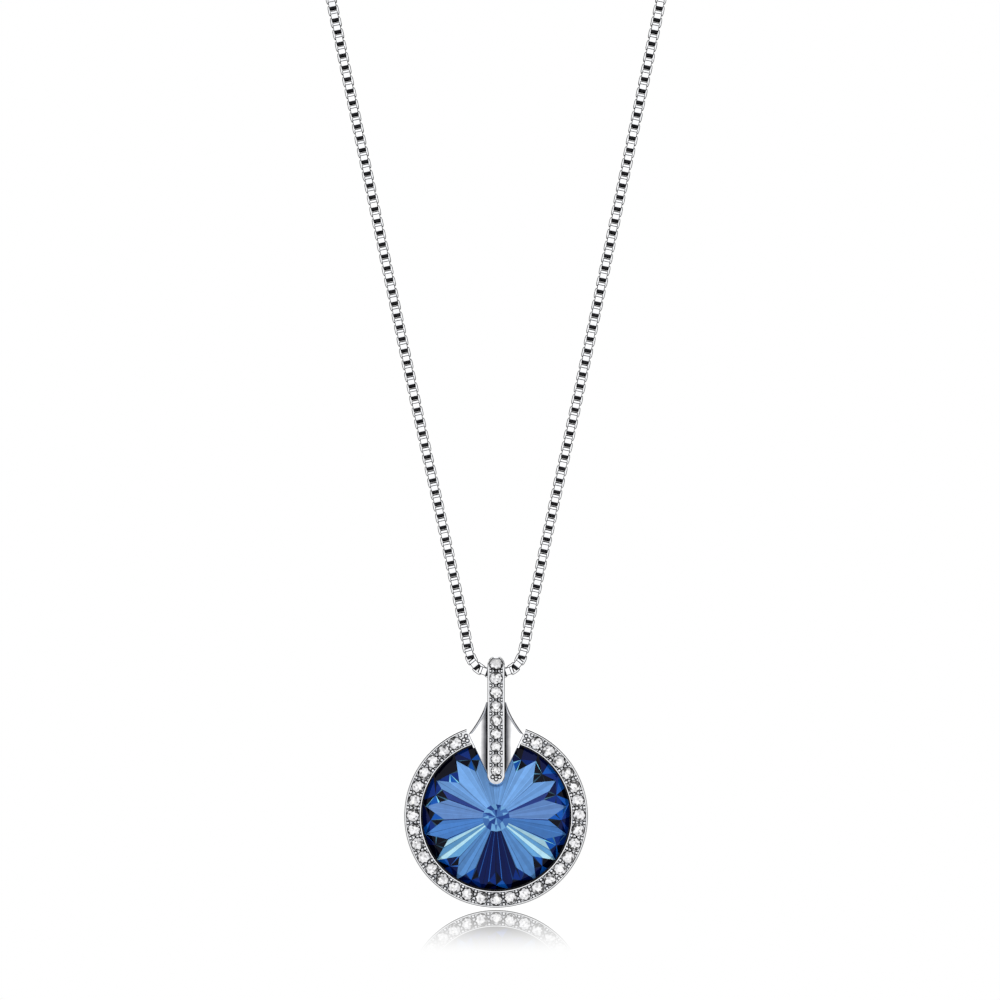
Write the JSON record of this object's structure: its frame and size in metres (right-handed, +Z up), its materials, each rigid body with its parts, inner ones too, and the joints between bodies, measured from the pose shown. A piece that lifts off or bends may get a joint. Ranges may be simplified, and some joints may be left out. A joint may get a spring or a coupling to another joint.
{
  "type": "pendant necklace",
  "caption": "Round pendant with a pointed blue crystal in a stone-set halo, on a stone-set bail and a fine box chain with a lobster clasp.",
  "frame": {"origin": "on the axis of the display bar that holds the chain up, midway between the two strands", "axes": "+Z up, the front of the pendant faces -Y, +X to the right as seen from the front"},
  "size_m": [0.0596, 0.0119, 0.1595],
  "materials": {
    "polished_silver": "polished",
    "box_chain": "polished",
    "findings": "polished",
    "spring_steel": "satin",
    "blue_crystal": "polished",
    "clear_stone": "polished"
  },
  "bodies": {
    "chain": {"chain": "box_chain", "clasp_ring": "findings", "chain_end_ring": "findings"},
    "pendant": {"crystal": "blue_crystal", "halo_ring": "polished_silver", "crystal_cup": "polished_silver", "bail": "polished_silver", "leaf_plate": "polished_silver", "halo_stone_01": "clear_stone", "halo_stone_02": "clear_stone", "halo_stone_03": "clear_stone", "halo_stone_04": "clear_stone", "halo_stone_05": "clear_stone", "halo_stone_06": "clear_stone", "halo_stone_07": "clear_stone", "halo_stone_08": "clear_stone", "halo_stone_09": "clear_stone", "halo_stone_10": "clear_stone", "halo_stone_11": "clear_stone", "halo_stone_12": "clear_stone", "halo_stone_13": "clear_stone", "halo_stone_14": "clear_stone", "halo_stone_15": "clear_stone", "halo_stone_16": "clear_stone", "halo_stone_17": "clear_stone", "halo_stone_18": "clear_stone", "halo_stone_19": "clear_stone", "halo_stone_20": "clear_stone", "halo_stone_21": "clear_stone", "halo_stone_22": "clear_stone", "halo_stone_23": "clear_stone", "halo_stone_24": "clear_stone", "halo_stone_25": "clear_stone", "halo_stone_26": "clear_stone", "halo_stone_27": "clear_stone", "halo_stone_28": "clear_stone", "halo_stone_29": "clear_stone", "halo_stone_30": "clear_stone", "halo_stone_31": "clear_stone", "bail_stone_1": "clear_stone", "bail_stone_2": "clear_stone", "bail_stone_3": "clear_stone", "bail_stone_4": "clear_stone", "bail_stone_5": "clear_stone", "bail_stone_6": "clear_stone", "bail_stone_7": "clear_stone", "bail_stone_8": "clear_stone", "bail_stone_9": "clear_stone"},
    "clasp": {"clasp_body": "findings", "clasp_pin": "spring_steel", "clasp_spring": "spring_steel"},
    "clasp_lever": {"clasp_lever": "findings"}
  },
  "joints": [
    {"name": "pendant_swing", "type": "hinge", "parent": "chain", "child": "pendant", "pos_m": [0, -0.00345, -0.13396], "axis": [1, 0, 0], "range_deg": [-90, 90]},
    {"name": "clasp_rock", "type": "hinge", "parent": "chain", "child": "clasp", "pos_m": [0.00347, 0.00345, -0.06558], "axis": [0, 1, 0], "range_deg": [-4, 4]},
    {"name": "clasp_lever_open", "type": "hinge", "parent": "clasp", "child": "clasp_lever", "pos_m": [0.00028, 0.00345, -0.06668], "axis": [0, 1, 0], "range_deg": [0, 25], "stiffness_Nm_per_rad": 0.002, "springref_deg": -11.46, "deforming": ["clasp_spring"]}
  ]
}
